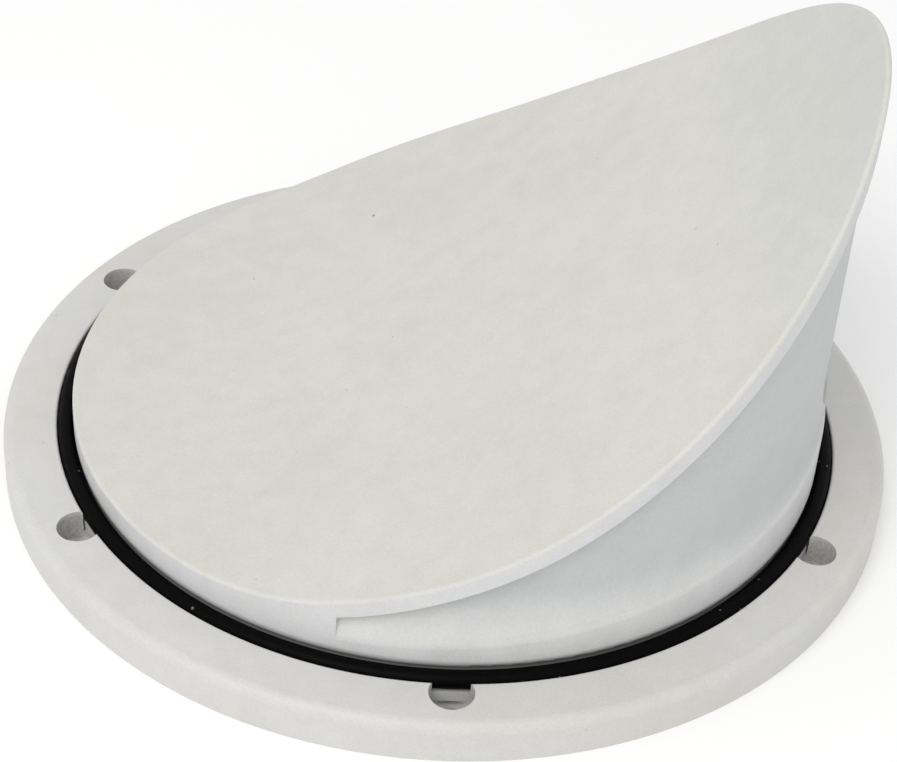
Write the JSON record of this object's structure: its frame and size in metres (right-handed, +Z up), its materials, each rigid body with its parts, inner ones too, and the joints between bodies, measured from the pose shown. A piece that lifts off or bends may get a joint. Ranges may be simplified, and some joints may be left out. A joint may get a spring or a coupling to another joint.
{
  "type": "cowl vent",
  "caption": "Low round cowl vent: hood with a curved top and side mouth, turning on an O-ring in a screw-down deck ring, over an insect screen.",
  "frame": {"origin": "centre of the deck ring's flat underside, on the deck surface", "axes": "+Z up out of the deck, along the axis the hood turns on; +X towards the hood's high end and mouth at rest; +Y across"},
  "size_m": [0.1436, 0.1436, 0.0851],
  "materials": {
    "ring_plastic": "satin off-white moulded plastic",
    "rubber": "black rubber, faint sheen",
    "hood_plastic": "satin off-white moulded plastic",
    "screen_mesh": "dark coated woven yarn",
    "retainer_plastic": "satin off-white moulded plastic"
  },
  "bodies": {
    "ring": {"deck_ring": "ring_plastic"},
    "seal": {"o_ring": "rubber"},
    "cowl": {"cowl_hood": "hood_plastic", "insect_screen": "screen_mesh", "screen_retainer": "retainer_plastic"}
  },
  "joints": [
    {"name": "cowl_lift", "type": "slide", "parent": "ring", "child": "seal", "axis": [0, 0, 1], "range_m": [0, 0.03]},
    {"name": "cowl_turn", "type": "hinge", "parent": "seal", "child": "cowl", "pos_m": [0, 0, 0.0058], "axis": [0, 0, 1], "continuous": true}
  ]
}
